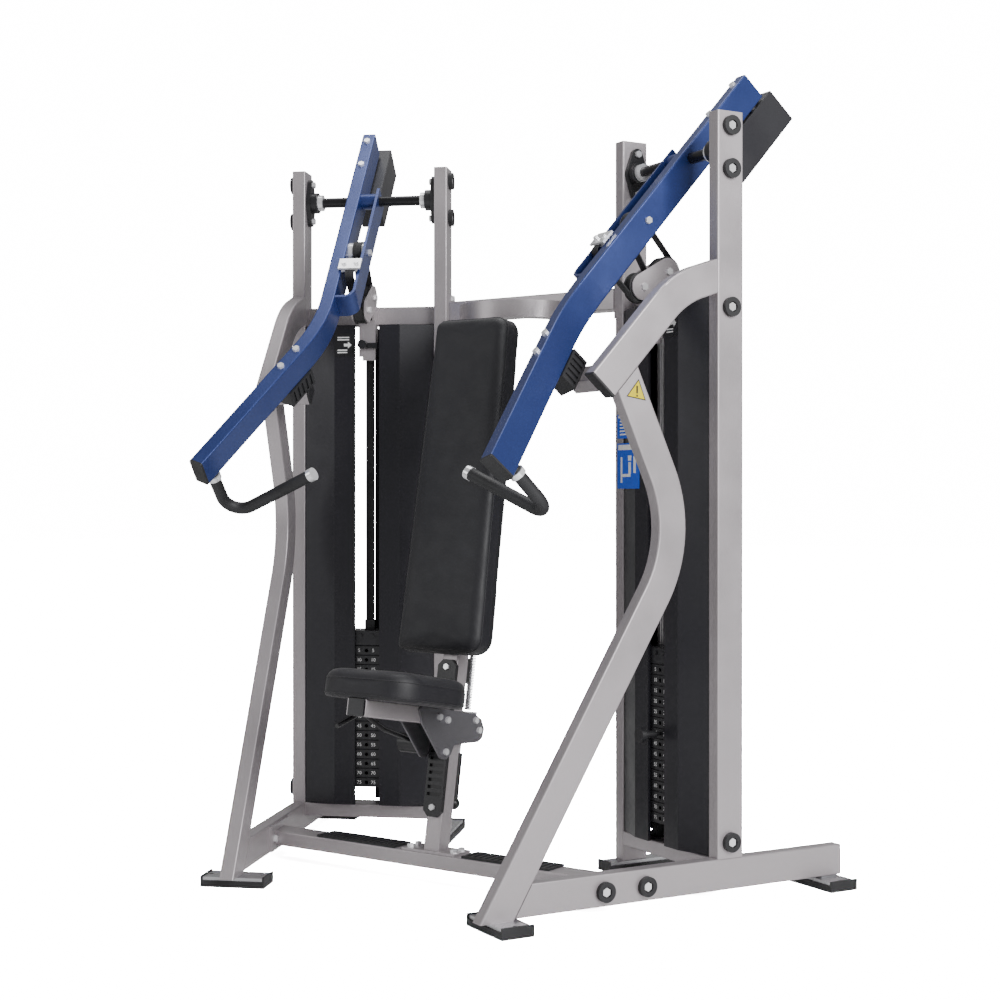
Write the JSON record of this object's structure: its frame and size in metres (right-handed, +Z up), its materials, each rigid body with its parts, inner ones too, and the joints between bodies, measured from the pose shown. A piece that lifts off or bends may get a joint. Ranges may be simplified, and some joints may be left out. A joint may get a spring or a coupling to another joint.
{
  "type": "shoulder press machine",
  "caption": "Seated overhead press machine: two angled weight-stack modules with separate swinging press arms either side of a padded, height-adjustable seat",
  "frame": {"origin": "on the floor, in the middle of the overall width and depth", "axes": "+Z up, -Y the front that the seated user faces, +X to the right of a viewer who faces the front, mirrored about X = 0"},
  "size_m": [1.904, 1.1075, 2.1676],
  "materials": {
    "frame_paint": "warm silver-grey metallic powder coat, satin",
    "arm_paint": "metallic blue powder coat, semi-gloss",
    "dark_paint": "dark grey powder coat, satin",
    "cover_grey": "charcoal fine-textured powder coat",
    "carriage_grey": "dark metallic grey coat, semi-gloss",
    "plate_iron": "black painted weight plate, satin",
    "chrome": "polished plating",
    "steel": "zinc-plated, slightly dull",
    "rubber": "black moulded rubber",
    "black_plastic": "black moulded nylon",
    "vinyl": "charcoal upholstery vinyl, soft sheen, fine grain",
    "black_metal": "black satin coat",
    "belt": "black flat belt",
    "placard": null
  },
  "bodies": {
    "frame": {"back_support": "frame_paint", "backrest": "vinyl", "base_rail_left": "frame_paint", "base_rail_right": "frame_paint", "bearings": "black_metal", "belt_left": "belt", "belt_right": "belt", "foot_pads": "rubber", "foot_plates": "steel", "frame_bolts": "chrome", "front_cross_member": "frame_paint", "front_leg_left": "frame_paint", "front_leg_right": "frame_paint", "guide_rods": "chrome", "inner_upright_left": "frame_paint", "inner_upright_right": "frame_paint", "module_beams": "frame_paint", "outer_upright_left": "frame_paint", "outer_upright_right": "frame_paint", "placards": "placard", "pulley_brackets": "frame_paint", "rubber_trim": "rubber", "seat_post": "frame_paint", "seat_rack": "black_metal", "shroud_left": "cover_grey", "shroud_right": "cover_grey", "treads": "rubber", "upper_brace_left": "frame_paint", "upper_brace_right": "frame_paint", "upper_cross_member": "frame_paint", "weights_resting": "plate_iron"},
    "arm_right": {"shaft_right": "steel", "arm_tube_right": "arm_paint", "counterweight_right": "dark_paint", "handle_right": "rubber", "arm_trim_right": "rubber", "arm_hardware_right": "chrome"},
    "stack_right": {"weights_lifted_right": "plate_iron"},
    "pin_right": {"selector_pin_right": "black_plastic"},
    "knob_right": {"adjuster_knob_right": "black_plastic"},
    "front_wheel_right": {"pulley_front_right": "black_plastic"},
    "rear_wheel_right": {"pulley_rear_right": "black_plastic"},
    "arm_left": {"shaft_left": "steel", "arm_tube_left": "arm_paint", "counterweight_left": "dark_paint", "handle_left": "rubber", "arm_trim_left": "rubber", "arm_hardware_left": "chrome"},
    "stack_left": {"weights_lifted_left": "plate_iron"},
    "pin_left": {"selector_pin_left": "black_plastic"},
    "knob_left": {"adjuster_knob_left": "black_plastic"},
    "front_wheel_left": {"pulley_front_left": "black_plastic"},
    "rear_wheel_left": {"pulley_rear_left": "black_plastic"},
    "seat": {"seat_beam": "frame_paint", "seat_carriage": "carriage_grey", "seat_hardware": "chrome", "seat_rollers": "black_plastic", "seat_pad": "vinyl", "seat_spring": "steel"},
    "lever": {"seat_lever": "black_metal"}
  },
  "joints": [
    {"name": "press_arm_right", "type": "hinge", "parent": "frame", "child": "arm_right", "pos_m": [0.524, 0.24869, 1.925], "axis": [-0.9013, 0.4332, 0], "range_deg": [0, 50], "deforming": ["belt_right"]},
    {"name": "stack_lift_right", "type": "slide", "parent": "frame", "child": "stack_right", "axis": [0, 0, 1], "range_m": [0, 0.677]},
    {"name": "selector_pull_right", "type": "slide", "parent": "stack_right", "child": "pin_right", "axis": [-0.4332, -0.9013, 0], "range_m": [0, 0.075]},
    {"name": "cable_adjuster_right", "type": "slide", "parent": "frame", "child": "knob_right", "axis": [-0.4332, -0.9013, 0], "range_m": [0, 0.012]},
    {"name": "rear_pulley_right", "type": "hinge", "parent": "frame", "child": "rear_wheel_right", "pos_m": [0.50876, 0.20775, 1.629], "axis": [0.9013, -0.4332, 0], "continuous": true},
    {"name": "front_pulley_right", "type": "hinge", "parent": "frame", "child": "front_wheel_right", "pos_m": [0.47476, 0.137, 1.584], "axis": [0.9013, -0.4332, 0], "continuous": true},
    {"name": "press_arm_left", "type": "hinge", "parent": "frame", "child": "arm_left", "pos_m": [-0.524, 0.24869, 1.925], "axis": [-0.9013, -0.4332, 0], "range_deg": [0, 50], "deforming": ["belt_left"]},
    {"name": "stack_lift_left", "type": "slide", "parent": "frame", "child": "stack_left", "axis": [0, 0, 1], "range_m": [0, 0.677]},
    {"name": "selector_pull_left", "type": "slide", "parent": "stack_left", "child": "pin_left", "axis": [0.4332, -0.9013, 0], "range_m": [0, 0.075]},
    {"name": "cable_adjuster_left", "type": "slide", "parent": "frame", "child": "knob_left", "axis": [0.4332, -0.9013, 0], "range_m": [0, 0.012]},
    {"name": "rear_pulley_left", "type": "hinge", "parent": "frame", "child": "rear_wheel_left", "pos_m": [-0.50876, 0.20775, 1.629], "axis": [0.9013, 0.4332, 0], "continuous": true},
    {"name": "front_pulley_left", "type": "hinge", "parent": "frame", "child": "front_wheel_left", "pos_m": [-0.47476, 0.137, 1.584], "axis": [0.9013, 0.4332, 0], "continuous": true},
    {"name": "seat_height", "type": "slide", "parent": "frame", "child": "seat", "axis": [0, 0.1736, 0.9848], "range_m": [-0.085, 0.04], "deforming": ["seat_spring"]},
    {"name": "seat_lever_lift", "type": "hinge", "parent": "seat", "child": "lever", "pos_m": [-0.066, -0.14031, 0.371], "axis": [-1, 0, 0], "range_deg": [0, 6]}
  ],
  "couplings": [
    {"joint": "stack_lift_right", "follows": "press_arm_right", "m_per_rad": 0.7758},
    {"joint": "rear_pulley_right", "follows": "press_arm_right", "ratio": 20.7},
    {"joint": "front_pulley_right", "follows": "press_arm_right", "ratio": -9.15},
    {"joint": "stack_lift_left", "follows": "press_arm_left", "m_per_rad": 0.7758},
    {"joint": "rear_pulley_left", "follows": "press_arm_left", "ratio": 20.7},
    {"joint": "front_pulley_left", "follows": "press_arm_left", "ratio": -9.15}
  ]
}
